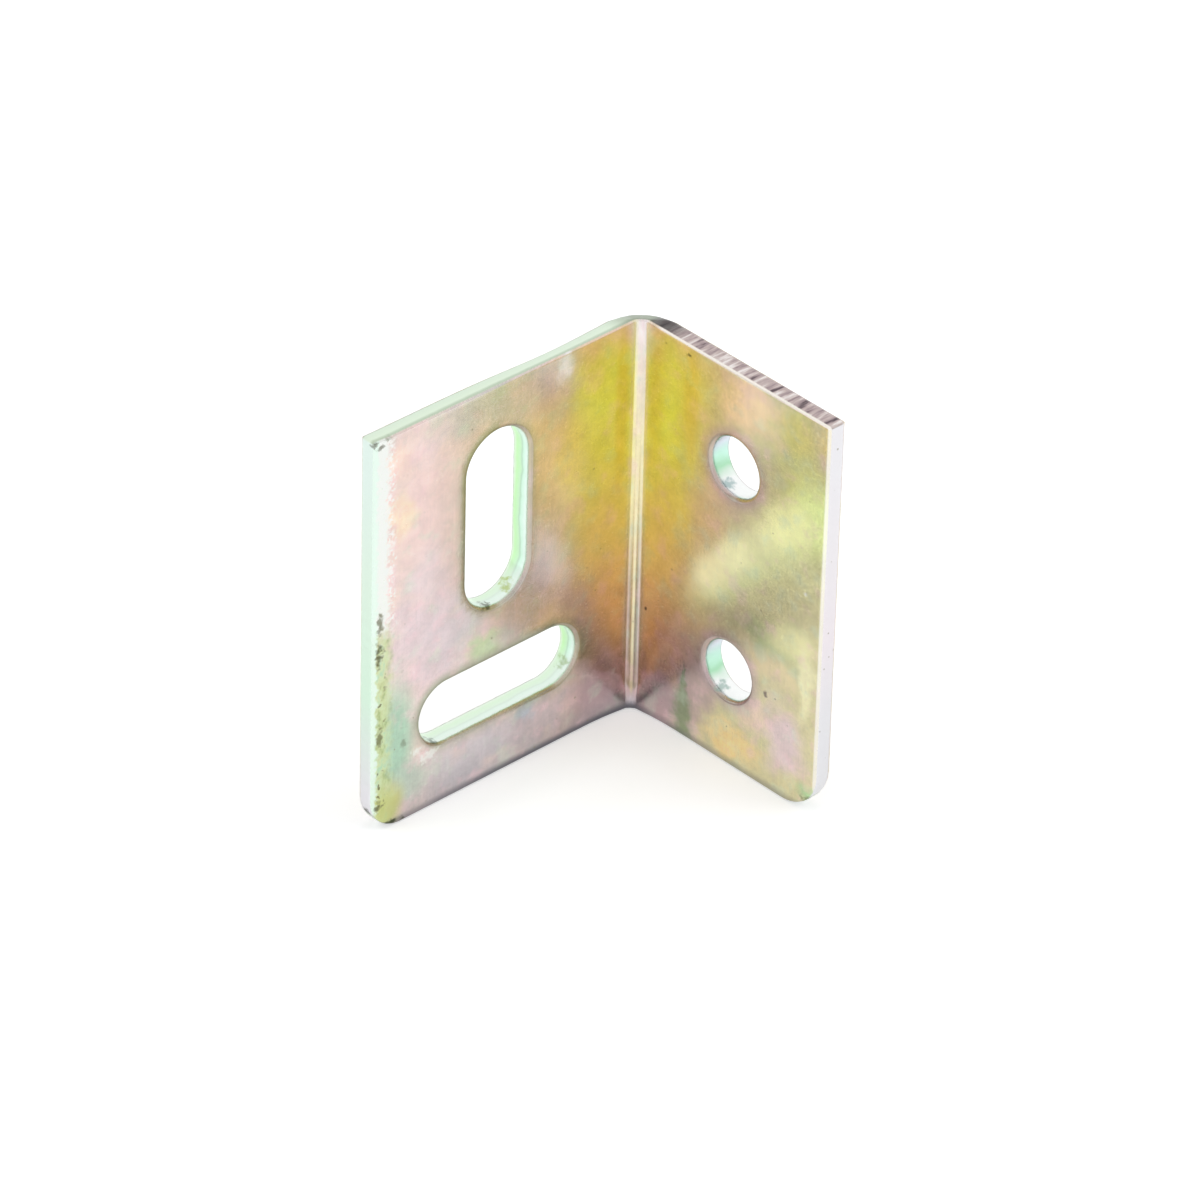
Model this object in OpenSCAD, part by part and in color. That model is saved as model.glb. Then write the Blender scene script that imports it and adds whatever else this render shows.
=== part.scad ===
// A right-angle mending plate: one piece of plated sheet steel, blanked, punched and folded once.
// The fold stands upright. The leaf with two round holes runs along +X from it and the leaf with
// two slots runs along -Y, so the hollow side of the fold faces +X and -Y.

/* [Sheet] */
// Height of the plate along the fold, from bottom edge to top edge
plate_height = 38; // [36:0.5:44]
// Thickness of the sheet
sheet_thickness = 2; // [1.6:0.1:2.4]
// Radius of the fold on its hollow side
fold_radius = 0.9; // [0.6:0.1:1.5]

/* [Slotted leaf] */
// Length of the slotted leaf, from the outer face of the other leaf to its free end
slot_leaf_length = 30.8; // [29:0.1:36]
// Radius of the lower free corner of the slotted leaf
slot_leaf_corner = 3.2; // [2:0.1:4]
// Width of the upright slot
upright_slot_width = 6.7; // [5:0.1:7.2]
// Length of the upright slot, over its round ends
upright_slot_length = 16.8; // [12:0.1:18]
// Distance of the upright slot's centre from the middle of the leaf's flat, toward the free end
upright_slot_offset = 0.55; // [-1:0.05:2]
// Distance of the upright slot's centre below the top edge
upright_slot_below_top = 12.8; // [12:0.1:13.5]
// Width of the level slot
level_slot_width = 5.8; // [4.5:0.1:6.5]
// Length of the level slot, over its round ends
level_slot_length = 17.2; // [12:0.1:18]
// Distance of the level slot's centre from the middle of the leaf's flat, toward the free end
level_slot_offset = 0.15; // [-1:0.05:1]
// Height of the level slot's centre above the bottom edge
level_slot_height = 8.7; // [8:0.1:10]

/* [Leaf with the round holes] */
// Length of the leaf with the round holes, from the outer face of the other leaf to its free end
hole_leaf_length = 23.9; // [22:0.1:30]
// Radius of the lower free corner of the leaf with the round holes
hole_leaf_corner = 4; // [2:0.1:5]
// Diameter of each round hole
hole_diameter = 5.4; // [4:0.1:6.5]
// Distance of the holes' centres from the middle of the leaf's flat, toward the free end
hole_offset = -0.2; // [-2:0.05:2]
// Distance of each hole's centre from the nearer edge, bottom or top
hole_from_edge = 9.1; // [7:0.1:12]

/* [Edges left by the tools] */
// Radius of the rolled edge that blanking leaves around the outer face
blank_roll = 0.8; // [0.4:0.1:0.9]
// Radius of the blunted edge around the inner face
blunt_edge = 0.25; // [0.15:0.05:0.4]
// Radius of the rolled rim that the punch leaves on the inner side of each hole and slot
punch_roll = 0.4; // [0.2:0.05:0.5]
// Width of the worn-down strip on the inner face at the slotted leaf's free end
worn_strip_width = 1.7; // [1:0.1:2.2]
// How far that strip has come down at the free end
worn_strip_drop = 0.15; // [0.08:0.01:0.25]
// Slope, in degrees, of the dip at both ends of the fold where the outer side was stretched
fold_dip_angle = 15; // [8:1:20]

/* [Hidden] */
$fn = 96;
// where the fold ends and the flat of each leaf begins, measured from the outer faces' corner
flat_start = sheet_thickness + fold_radius;
// how far a cutter runs past the surface that it cuts
over = 0.5;
// a rolled rim's arc has its centre a little nearer than its radius, so that it crosses both surfaces
rim_share = 0.985;
rim_centre = rim_share * punch_roll;
upright_slot_height = plate_height - upright_slot_below_top;
// distance along the bisector of the fold at which the dips begin, at the hollow side of the fold
dip_start = flat_start * sqrt(2) - fold_radius;
// side of the wedge that cuts a dip, long enough to pass over the whole fold
dip_wedge = 3 * dip_start;
// slope of the worn strip as a whole
worn_strip_slope = atan(worn_strip_drop / worn_strip_width);

// Drawing frames of the two leaves: x along the leaf from the outer corner, y up,
// z from the outer face inward.
module on_hole_leaf() rotate([90, 0, 0]) children();
module on_slot_leaf() rotate([90, 0, -90]) mirror([0, 0, 1]) children();

// Upright section of the sheet, x from the outer face inward and y up, with its rolled and blunted edges.
module upright_section() {
    roll_to_blunt = sheet_thickness - blank_roll - blunt_edge;
    translate([0, blank_roll]) square([blank_roll, plate_height - 2 * blank_roll]);
    translate([blank_roll, 0]) square([roll_to_blunt, plate_height]);
    translate([sheet_thickness - blunt_edge, blunt_edge]) square([blunt_edge, plate_height - 2 * blunt_edge]);
    for (y = [blank_roll, plate_height - blank_roll]) translate([blank_roll, y]) circle(blank_roll);
    for (y = [blunt_edge, plate_height - blunt_edge])
        translate([sheet_thickness - blunt_edge, y]) circle(blunt_edge);
}

// Level section of the last stretch of a leaf: x along the leaf up to the free end,
// y from the outer face inward.
module end_section(stretch) {
    square([stretch - blank_roll, sheet_thickness]);
    translate([0, blank_roll]) square([stretch, sheet_thickness - blank_roll - blunt_edge]);
    translate([0, blank_roll]) square([stretch - blunt_edge, sheet_thickness - blank_roll]);
    translate([stretch - blank_roll, blank_roll]) circle(blank_roll);
    translate([stretch - blunt_edge, sheet_thickness - blunt_edge]) circle(blunt_edge);
}

// Place along a leaf of something punched beside the middle of its flat.
function along_leaf(leaf_length, offset) = (flat_start + leaf_length) / 2 + offset;

// The flat of one leaf with a square top corner and a round lower corner at its free end.
module leaf_blank(leaf_length, corner) {
    corner_start = leaf_length - corner;
    translate([flat_start, 0, 0]) mirror([0, 0, 1]) rotate([0, 90, 0])
        linear_extrude(corner_start - flat_start) upright_section();
    intersection() {
        translate([corner_start, 0, 0]) mirror([0, 0, 1]) rotate([0, 90, 0])
            linear_extrude(corner) upright_section();
        translate([corner_start, corner, 0]) mirror([0, 0, 1]) rotate([-90, 0, 0])
            linear_extrude(plate_height - corner) end_section(corner);
    }
    translate([corner_start, corner, 0]) rotate([0, 0, -90]) rotate_extrude(angle = 90) end_section(corner);
}

// Section of the metal that a rolled rim takes away: x away from the hole's edge, y up from the inner face.
module rim_section() {
    difference() {
        translate([-over, -rim_centre]) square(over + rim_centre);
        translate([rim_centre, -rim_centre]) circle(punch_roll);
    }
}

// A round hole with its rolled rim.
module punched_hole() {
    translate([0, 0, -over]) cylinder(d = hole_diameter, h = sheet_thickness + 2 * over);
    translate([0, 0, sheet_thickness]) rotate_extrude() translate([hole_diameter / 2, 0]) rim_section();
}

// A slot with round ends and a rolled rim, along x.
module punched_slot(slot_length, slot_width) {
    centres = slot_length - slot_width;
    translate([-centres / 2, -slot_width / 2, -over]) cube([centres, slot_width, sheet_thickness + 2 * over]);
    for (turn = [0, 180]) rotate([0, 0, turn]) {
        translate([centres / 2, 0, -over]) cylinder(d = slot_width, h = sheet_thickness + 2 * over);
        translate([centres / 2, 0, sheet_thickness]) rotate([0, 0, -90]) rotate_extrude(angle = 180)
            translate([slot_width / 2, 0]) rim_section();
        translate([-centres / 2, slot_width / 2, sheet_thickness]) rotate([90, 0, 90])
            linear_extrude(centres) rim_section();
    }
}

// The worn strip at the slotted leaf's free end, as a thin wedge along the whole edge.
module worn_strip() {
    translate([slot_leaf_length - worn_strip_width, -over, sheet_thickness]) rotate([0, worn_strip_slope, 0])
        cube([worn_strip_width + over, plate_height + 2 * over, over]);
}

// The dip at the top of the fold: a wedge that deepens along the bisector toward the outer corner.
module fold_dip() {
    translate([0, 0, plate_height]) rotate([0, 0, 135]) translate([-dip_start, -dip_wedge / 2, 0])
        rotate([0, fold_dip_angle, 0]) cube(dip_wedge);
}

// The whole plate: both leaves and the fold between them, with everything punched, worn and stretched away.
module folded_plate() {
    color("DarkKhaki") translate([-hole_leaf_length / 2, slot_leaf_length / 2, 0]) difference() {
        union() {
            on_hole_leaf() leaf_blank(hole_leaf_length, hole_leaf_corner);
            on_slot_leaf() leaf_blank(slot_leaf_length, slot_leaf_corner);
            translate([flat_start, -flat_start, 0]) rotate([0, 0, 90]) rotate_extrude(angle = 90)
                translate([flat_start, 0]) mirror([1, 0]) upright_section();
        }
        on_hole_leaf() for (y = [hole_from_edge, plate_height - hole_from_edge])
            translate([along_leaf(hole_leaf_length, hole_offset), y, 0]) punched_hole();
        on_slot_leaf() {
            translate([along_leaf(slot_leaf_length, upright_slot_offset), upright_slot_height, 0])
                rotate([0, 0, 90]) punched_slot(upright_slot_length, upright_slot_width);
            translate([along_leaf(slot_leaf_length, level_slot_offset), level_slot_height, 0])
                punched_slot(level_slot_length, level_slot_width);
            worn_strip();
        }
        fold_dip();
        translate([0, 0, plate_height]) mirror([0, 0, 1]) fold_dip();
    }
}

folded_plate();
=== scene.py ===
import math

import bmesh
import bpy
import numpy as np
from mathutils import Matrix, Vector, noise
from mathutils.geometry import delaunay_2d_cdt


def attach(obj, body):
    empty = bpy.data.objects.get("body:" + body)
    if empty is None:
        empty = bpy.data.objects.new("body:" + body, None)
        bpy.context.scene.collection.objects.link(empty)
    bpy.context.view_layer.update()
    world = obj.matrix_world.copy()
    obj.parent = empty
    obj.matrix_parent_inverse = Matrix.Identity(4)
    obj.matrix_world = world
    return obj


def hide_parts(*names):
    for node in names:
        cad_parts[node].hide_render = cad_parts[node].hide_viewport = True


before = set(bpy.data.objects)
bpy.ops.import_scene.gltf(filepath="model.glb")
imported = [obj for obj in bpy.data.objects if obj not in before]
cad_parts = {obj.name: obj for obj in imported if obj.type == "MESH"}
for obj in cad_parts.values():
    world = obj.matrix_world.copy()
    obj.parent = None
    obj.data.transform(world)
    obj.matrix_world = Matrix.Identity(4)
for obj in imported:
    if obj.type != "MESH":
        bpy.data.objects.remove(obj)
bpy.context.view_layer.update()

# The plate: one strip of 2 mm steel sheet. A blanking tool rolls the edge around its outer face, punches
# cut the slots and holes from its inner face, and a press folds the flat blank once to a right angle.
millimetre = 0.001
plate_height = 38.0
sheet_thickness = 2.0
fold_radius = 0.9
slot_leaf_length = 30.8
slot_leaf_corner = 3.2
hole_leaf_length = 23.9
hole_leaf_corner = 4.0
top_corner = 0.3
blank_roll = 0.8
blunt_edge = 0.25
punch_roll = 0.4
cut_edge = 0.05
worn_strip_width = 1.7
worn_strip_drop = 0.15
fold_dip_slope = math.tan(math.radians(15.0))
fold_dip_reach = 3.0

# places on the flat blank, in millimetres: along it from the middle of the fold, with the slotted leaf
# on the negative side, up it from the bottom edge, and into the sheet from its outer face
flat_start = sheet_thickness + fold_radius
fold_length = math.pi / 2 * (fold_radius + sheet_thickness / 2)
slot_end = -fold_length / 2 - (slot_leaf_length - flat_start)
hole_end = fold_length / 2 + (hole_leaf_length - flat_start)
slot_middle = (slot_end - fold_length / 2) / 2
hole_middle = (hole_end + fold_length / 2) / 2

# each punched opening: the two ends of its centre line and its radius
punched = {
    "upright_slot": ((slot_middle - 0.55, 20.15), (slot_middle - 0.55, 30.25), 3.35),
    "level_slot": ((slot_middle - 5.85, 8.7), (slot_middle + 5.55, 8.7), 2.9),
    "lower_hole": ((hole_middle - 0.2, 9.1), (hole_middle - 0.2, 9.1), 2.7),
    "upper_hole": ((hole_middle - 0.2, 28.9), (hole_middle - 0.2, 28.9), 2.7),
}


def outline_distance(along, up):
    """Distance inward from the outer edge of the blank."""
    distance = np.minimum.reduce([along - slot_end, hole_end - along, up, plate_height - up])
    for centre, side, radius in ((slot_end + slot_leaf_corner, -1, slot_leaf_corner),
                                 (hole_end - hole_leaf_corner, 1, hole_leaf_corner)):
        in_corner = ((along - centre) * side > 0) & (up < radius)
        distance = np.where(in_corner, radius - np.hypot(along - centre, up - radius), distance)
    return distance


def punched_distance(along, up):
    """Distance from the nearest punched opening, negative inside it."""
    nearest = np.full(np.shape(along), 1000.0)
    for (first_along, first_up), (last_along, last_up), radius in punched.values():
        off_along = along - np.clip(along, first_along, last_along)
        off_up = up - np.clip(up, first_up, last_up)
        nearest = np.minimum(nearest, np.hypot(off_along, off_up) - radius)
    return nearest


def steps(first, last, spacing):
    """Evenly spaced values from first up to but without last, at most a spacing apart."""
    count = max(1, math.ceil(abs(last - first) / spacing))
    return np.linspace(first, last, count, endpoint=False)


def arc(centre, radius, first_degrees, last_degrees, spacing):
    """Points and outward directions along an arc, without its last point."""
    turns = np.radians(steps(first_degrees, last_degrees, math.degrees(spacing / radius)))
    outward = np.stack([np.cos(turns), np.sin(turns)], 1)
    return np.array(centre) + radius * outward, outward


edge_spacing = 0.22
round_spacing = 0.18
top_corner_spacing = 0.12
fold_lines = np.linspace(-fold_length / 2, fold_length / 2, 33)


def along_the_blank(first, last):
    """Places from one end to the other along the bottom edge, with one on every line of the fold."""
    return np.concatenate([steps(first, fold_lines[0], edge_spacing), fold_lines[:-1],
                           steps(fold_lines[-1], last, edge_spacing)])


def straight(places, level, axis, inward):
    """Points along a straight edge, with their direction away from the metal."""
    points = np.full((len(places), 2), level)
    points[:, axis] = places
    return points, np.tile(-np.array(inward, float), (len(places), 1))


def outline_edge():
    """The outer edge of the blank, counter-clockwise as seen from the inner face."""
    top_places = along_the_blank(slot_end + top_corner, hole_end - top_corner)
    runs = [
        straight(along_the_blank(slot_end + slot_leaf_corner, hole_end - hole_leaf_corner), 0.0, 0, (0, 1)),
        arc((hole_end - hole_leaf_corner, hole_leaf_corner), hole_leaf_corner, -90, 0, edge_spacing),
        straight(steps(hole_leaf_corner, plate_height - top_corner, edge_spacing), hole_end, 1, (-1, 0)),
        arc((hole_end - top_corner, plate_height - top_corner), top_corner, 0, 90,
            top_corner_spacing),
        straight(np.append(hole_end - top_corner, top_places[:0:-1]), plate_height, 0, (0, -1)),
        arc((slot_end + top_corner, plate_height - top_corner), top_corner, 90, 180,
            top_corner_spacing),
        straight(steps(plate_height - top_corner, slot_leaf_corner, edge_spacing), slot_end, 1, (1, 0)),
        arc((slot_end + slot_leaf_corner, slot_leaf_corner), slot_leaf_corner, 180, 270, edge_spacing),
    ]
    return np.concatenate([run[0] for run in runs]), np.concatenate([run[1] for run in runs])


def punched_edge(first, last, radius):
    """The edge of one opening with round ends, clockwise as seen from the inner face."""
    first, last = np.array(first), np.array(last)
    upright = last[1] > first[1]
    start_turn = 180 if upright else 90
    runs = [arc(last, radius, start_turn, start_turn - 180, round_spacing),
            arc(first, radius, start_turn - 180, start_turn - 360, round_spacing)]
    if np.hypot(*(last - first)) > 0:
        side = radius * (np.array([1.0, 0.0]) if upright else np.array([0.0, -1.0]))
        for place, (begin, finish, turn) in ((1, (last, first, 1)), (3, (first, last, -1))):
            part = steps(0.0, 1.0, edge_spacing / np.hypot(*(last - first)))[:, None]
            points = begin + turn * side + part * (finish - begin)
            runs.insert(place, (points, np.tile(turn * side / radius, (len(points), 1))))
    points = np.concatenate([run[0] for run in runs])
    return points, -np.concatenate([run[1] for run in runs])


def quarter(radius, count):
    """Inset and height of a quarter-round from the face it leaves to the wall that it meets."""
    turns = np.linspace(0, math.pi / 2, count + 1)
    return radius * (1 - np.sin(turns)), radius * (1 - np.cos(turns))


def edge_profile(inner_radius, outer_radius, outer_count):
    """Inset and depth of each ring of points around a cut edge, from the inner face to the outer face."""
    inner_inset, inner_drop = quarter(inner_radius, 5)
    outer_inset, outer_rise = quarter(outer_radius, outer_count)
    wall_depths = np.linspace(sheet_thickness - inner_radius, outer_radius, 8)[1:-1]
    insets = np.concatenate([inner_inset, np.zeros(len(wall_depths)), outer_inset[::-1]])
    depths = np.concatenate([sheet_thickness - inner_drop, wall_depths, outer_rise[::-1]])
    return list(zip(insets, depths))


blank = bmesh.new()
outline_profile = edge_profile(blunt_edge, blank_roll, 9)
punched_profile = edge_profile(punch_roll, cut_edge, 1)
face_loops = {"inner": [], "outer": []}
edges_to_sweep = [(outline_edge(), outline_profile, True)]
edges_to_sweep += [(punched_edge(*opening), punched_profile, False) for opening in punched.values()]
for (points, away), profile, around_outside in edges_to_sweep:
    rings = []
    for inset, depth in profile:
        ring = points - inset * away
        if around_outside:
            ring[:, 0] = np.clip(ring[:, 0], slot_end + inset, hole_end - inset)
            ring[:, 1] = np.clip(ring[:, 1], inset, plate_height - inset)
        rings.append([blank.verts.new((along, up, depth)) for along, up in ring])
    for upper, lower in zip(rings[:-1], rings[1:]):
        for here in range(len(points)):
            blank.faces.new((upper[here - 1], lower[here - 1], lower[here], upper[here]))
    face_loops["inner"].append(rings[0])
    face_loops["outer"].append(rings[-1])

# the two faces between those edges, as a fine even net of triangles that can take the fold
net_spacing = 0.55
foot_net_spacing = 0.18
foot_net_top = 2.2
outline_clearance = 0.2
punched_clearance = 0.15
net_along = np.concatenate([steps(slot_end, fold_lines[0], net_spacing), fold_lines[:-1],
                            steps(fold_lines[-1], hole_end, net_spacing)])
net_up = np.concatenate([steps(0.0, foot_net_top, foot_net_spacing),
                         steps(foot_net_top, plate_height, net_spacing)])
grid_along, grid_up = (grid.ravel() for grid in np.meshgrid(net_along, net_up))
for side, depth, outline_inset, punched_inset in (("inner", sheet_thickness, blunt_edge, punch_roll),
                                                  ("outer", 0.0, blank_roll, cut_edge)):
    clear = (outline_distance(grid_along, grid_up) > outline_inset + outline_clearance)
    clear &= (punched_distance(grid_along, grid_up) > punched_inset + punched_clearance)
    corners, rims = [], []
    for loop in face_loops[side]:
        start = len(corners)
        corners += loop
        rims += [(start + here, start + (here + 1) % len(loop)) for here in range(len(loop))]
    corners += [blank.verts.new((along, up, depth)) for along, up in zip(grid_along[clear], grid_up[clear])]
    flat_points = [Vector(corner.co[:2]) for corner in corners]
    _, _, triangles, came_from, _, _ = delaunay_2d_cdt(flat_points, rims, [], 0, 1e-7)
    for triangle in triangles:
        picked = [corners[came_from[corner][0]] for corner in triangle]
        middle = sum((corner.co for corner in picked), Vector()) / 3
        if punched_distance(np.array(middle.x), np.array(middle.y)) > punched_inset - 0.001:
            blank.faces.new(picked)
bmesh.ops.remove_doubles(blank, verts=blank.verts, dist=0.002)
bmesh.ops.dissolve_degenerate(blank, edges=blank.edges, dist=0.002)
bmesh.ops.triangulate(blank, faces=blank.faces)
bmesh.ops.recalc_face_normals(blank, faces=blank.faces)

# small unevenness of real metal: faces that wave a little, torn strokes across the cut walls,
# and the end of the slotted leaf that has been rubbed down and nicked
face_wave = 0.010
wall_tear = 0.030
edge_nick = 0.10
flute_depth = 0.06
flute_spacing = 0.4
foot_bulge = 0.50
foot_height = 2.6
foot_reach = 3.0
edge_sink = 0.45
sink_middle = -9.0
sink_reach = 6.5
sink_height = 2.5
blank.normal_update()
flat_places, wall_share, wall_rise, outline_gap, punched_gap = [], [], [], [], []
for corner in blank.verts:
    along, up, depth = corner.co
    flat_places.append((along, up, depth))
    outline_gap.append(float(outline_distance(np.array(along), np.array(up))))
    punched_gap.append(float(punched_distance(np.array(along), np.array(up))))
    wall_share.append(1.0 - min(1.0, abs(corner.normal.z) * 1.15))
    wall_rise.append(corner.normal.y)
for corner, (along, up, depth), wall, gap in zip(blank.verts, flat_places, wall_share,
                                                 np.minimum(outline_gap, punched_gap)):
    slant = 0.45 * depth
    stroke = noise.noise((2.3 * along + slant, 2.3 * up + slant, 0.25 * depth))
    stroke += 0.6 * noise.noise((5.1 * along + slant, 5.1 * up + slant, 0.4 * depth + 7.0))
    wave = noise.noise((along / 6.0, up / 9.0, depth))
    wave += 0.4 * noise.noise((along / 2.2, up / 4.0, depth + 3.0))
    shift = wall_tear * wall * stroke + face_wave * (1.0 - wall) * wave * min(1.0, max(gap, 0.0))
    near_end = max(0.0, 1.0 - (along - slot_end) / worn_strip_width)
    nick = max(0.0, noise.noise((1.3 * along, 1.6 * up, 1.1 * depth + 11.0)) - 0.28)
    shift -= edge_nick * near_end * nick * (1.0 if depth > 1.0 else 0.3)
    moved = Vector((along, up, depth)) + corner.normal * shift
    # the press leaves three narrow flutes in the hollow of the fold, closed at its foot and faint at its top
    in_fold = max(0.0, 1.0 - abs(along / fold_length * 2) ** 6)
    drift = 0.02 * noise.noise((0.0, up / 5, 0.0))
    flute = 0.5 + 0.5 * math.cos(2 * math.pi * (along / fold_length + drift) / flute_spacing)
    inner_share = max(0.0, (depth - 1.2) / 0.8)
    closing = min(1.0, max(0.0, (up - 0.9) / 1.6)) * (1.0 - 1.4 * max(0.0, up / plate_height - 0.4))
    moved.z -= flute_depth * flute * in_fold * inner_share * closing
    # squeezed metal bulges into the hollow at the foot of the fold
    beside_fold = math.exp(-(along / foot_reach) ** 2)
    moved.z += foot_bulge * beside_fold * inner_share * max(0.0, 1.0 - up / foot_height) ** 2
    moved.z -= worn_strip_drop * near_end * moved.z / sheet_thickness
    # the outer top edge of the slotted leaf is drawn down along the half nearer the fold
    beside_top = math.exp(-((along - sink_middle) / sink_reach) ** 2)
    beside_top *= max(0.0, 1.0 - (plate_height - up) / sink_height)
    moved.y -= edge_sink * beside_top * (1.0 - depth / sheet_thickness)
    moved.y = min(max(moved.y, 0.0), plate_height)
    corner.co = moved * millimetre
blank_mesh = bpy.data.meshes.new("blank")
blank.to_mesh(blank_mesh)
blank.free()
for name, kind, values in (("flat_place", "FLOAT_VECTOR", flat_places), ("wall_share", "FLOAT", wall_share),
                           ("wall_rise", "FLOAT", wall_rise), ("punched_gap", "FLOAT", punched_gap)):
    layer = blank_mesh.attributes.new(name, kind, "POINT")
    layer.data.foreach_set("vector" if kind == "FLOAT_VECTOR" else "value", np.ravel(values))
blank_mesh.polygons.foreach_set("use_smooth", [True] * len(blank_mesh.polygons))


def node(tree, kind, inputs=None, **settings):
    """Adds a node with its settings and gives each named or numbered input a value or a link."""
    made = tree.nodes.new(kind)
    for name, value in settings.items():
        setattr(made, name, value)
    for name, value in (inputs or {}).items():
        if isinstance(value, bpy.types.NodeSocket):
            tree.links.new(value, made.inputs[name])
        else:
            made.inputs[name].default_value = value
    return made


def arithmetic(tree, kind, operation, first, second=0.0):
    """One step of arithmetic in a node tree."""
    return node(tree, kind, {0: first, 1: second}, operation=operation).outputs[0]


def plating():
    """Zinc plating under a yellow passivation film, whose colour shifts with its thickness; painted sheen,
    highlights and shade are mixed into that colour.
    """
    material = bpy.data.materials.new("plated_steel")
    material.use_nodes = True
    tree = material.node_tree
    tree.nodes.clear()
    place = node(tree, "ShaderNodeAttribute", attribute_name="flat_place").outputs["Vector"]
    wall = node(tree, "ShaderNodeAttribute", attribute_name="wall_share").outputs["Fac"]
    rise = node(tree, "ShaderNodeAttribute", attribute_name="wall_rise").outputs["Fac"]
    from_opening = node(tree, "ShaderNodeAttribute", attribute_name="punched_gap").outputs["Fac"]

    def calc(operation, first, second=0.0):
        return arithmetic(tree, "ShaderNodeMath", operation, first, second)

    def both(first, second):
        return calc("MULTIPLY", first, second)

    def eased(value, low, high, at_low, at_high):
        return node(tree, "ShaderNodeMapRange", {"Value": value, "From Min": low, "From Max": high,
                                                 "To Min": at_low, "To Max": at_high},
                    interpolation_type="SMOOTHSTEP", clamp=False).outputs["Result"]

    def mottle(vector, scale, detail, rough=0.5):
        return node(tree, "ShaderNodeTexNoise", {"Vector": vector, "Scale": scale, "Detail": detail,
                                                 "Roughness": rough}).outputs["Fac"]

    def stretched(vector, scale):
        return node(tree, "ShaderNodeMapping", {"Vector": vector, "Scale": scale}).outputs["Vector"]

    def as_vector(colour):
        parts = node(tree, "ShaderNodeSeparateColor", {0: colour}).outputs
        return node(tree, "ShaderNodeCombineXYZ", {0: parts[0], 1: parts[1], 2: parts[2]}).outputs[0]

    def tint(under, colour, share):
        mixed = node(tree, "ShaderNodeMix", {"Factor": share, 6: under}, data_type="RGBA")
        if isinstance(colour, bpy.types.NodeSocket):
            tree.links.new(colour, mixed.inputs[7])
        else:
            mixed.inputs[7].default_value = (*colour, 1.0)
        return mixed.outputs[2]

    def ramp_of(value, stops):
        ramp = node(tree, "ShaderNodeValToRGB", {"Fac": value})
        while len(ramp.color_ramp.elements) < len(stops):
            ramp.color_ramp.elements.new(0.5)
        for element, (position, colour) in zip(ramp.color_ramp.elements, stops):
            element.position = position
            element.color = (*colour, 1.0)
        return ramp.outputs["Color"]

    def specks(scale, share, size, where):
        """Mask of round specks: the share of cells that hold one, and the largest radius in cells."""
        cells = node(tree, "ShaderNodeTexVoronoi", {"Vector": where, "Scale": scale})
        draw = node(tree, "ShaderNodeSeparateColor", {0: cells.outputs["Color"]}).outputs[0]
        radius = node(tree, "ShaderNodeMapRange", {"Value": draw, "From Min": 1.0 - share, "From Max": 1.0,
                                                   "To Min": 0.0, "To Max": size}, clamp=False)
        inside = calc("SUBTRACT", radius.outputs["Result"], cells.outputs["Distance"])
        return eased(inside, 0.0, 0.08, 0.0, 1.0)

    # the film's clouds have soft uneven borders, so every patch reads places that wander a little
    wander = node(tree, "ShaderNodeTexNoise", {"Vector": place, "Scale": 0.28, "Detail": 3.0})
    wander = as_vector(wander.outputs["Color"])
    wander = arithmetic(tree, "ShaderNodeVectorMath", "SUBTRACT", wander, (0.5, 0.5, 0.5))
    wander = node(tree, "ShaderNodeVectorMath", {0: wander, "Scale": 5.0}, operation="SCALE").outputs[0]
    cloudy_place = arithmetic(tree, "ShaderNodeVectorMath", "ADD", place, wander)
    along, up = node(tree, "ShaderNodeSeparateXYZ", {"Vector": cloudy_place}).outputs[:2]
    true_along, true_up, depth = node(tree, "ShaderNodeSeparateXYZ", {"Vector": place}).outputs[:3]
    inner_face = eased(depth, 0.9, 1.3, 0.0, 1.0)

    # clouds of every film colour, plain on the outer faces and faint under the patches of the inner ones
    film = ramp_of(mottle(place, 0.13, 3.0, 0.6), (
        (0.30, (0.66, 0.66, 0.34)), (0.42, (0.80, 0.68, 0.28)), (0.50, (0.84, 0.66, 0.36)),
        (0.58, (0.78, 0.61, 0.54)), (0.68, (0.62, 0.70, 0.52))))
    # slotted leaf peach and rose, leaf with the holes straw and khaki
    film = tint(film, (0.83, 0.67, 0.64), both(inner_face, eased(along, -2.0, -12.0, 0.0, 0.9)))
    film = tint(film, (0.67, 0.63, 0.39), both(inner_face, eased(along, 0.0, 10.0, 0.0, 0.9)))
    # along the fold: rose at the top edge, gold below it, then amber, orange and brown toward the foot
    fold_film = ramp_of(calc("DIVIDE", up, plate_height), (
        (0.06, (0.54, 0.40, 0.40)), (0.17, (0.64, 0.47, 0.36)), (0.33, (0.78, 0.58, 0.31)),
        (0.54, (0.79, 0.67, 0.26)), (0.72, (0.78, 0.74, 0.21)), (0.90, (0.78, 0.72, 0.23)),
        (0.985, (0.82, 0.64, 0.50))))
    by_fold = both(eased(calc("ABSOLUTE", along), 4.8, 11.0, 0.95, 0.0), eased(depth, 0.5, 1.3, 0.35, 1.0))
    film = tint(film, fold_film, by_fold)

    def off_centre(where, middle, half_size, turn):
        """Distance from the middle of an ellipse, as a share of its half size."""
        off = arithmetic(tree, "ShaderNodeVectorMath", "SUBTRACT", where, middle)
        if turn:
            cosine, sine = math.cos(math.radians(turn)), math.sin(math.radians(turn))
            axes = ((cosine, sine, 0.0), (-sine, cosine, 0.0), (0.0, 0.0, 1.0))
            dots = [node(tree, "ShaderNodeVectorMath", {0: off, 1: axis}, operation="DOT_PRODUCT")
                    for axis in axes]
            parts = {index: dot.outputs["Value"] for index, dot in enumerate(dots)}
            off = node(tree, "ShaderNodeCombineXYZ", parts).outputs[0]
        off = arithmetic(tree, "ShaderNodeVectorMath", "DIVIDE", off, half_size)
        return node(tree, "ShaderNodeVectorMath", {0: off}, operation="LENGTH").outputs["Value"]

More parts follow.
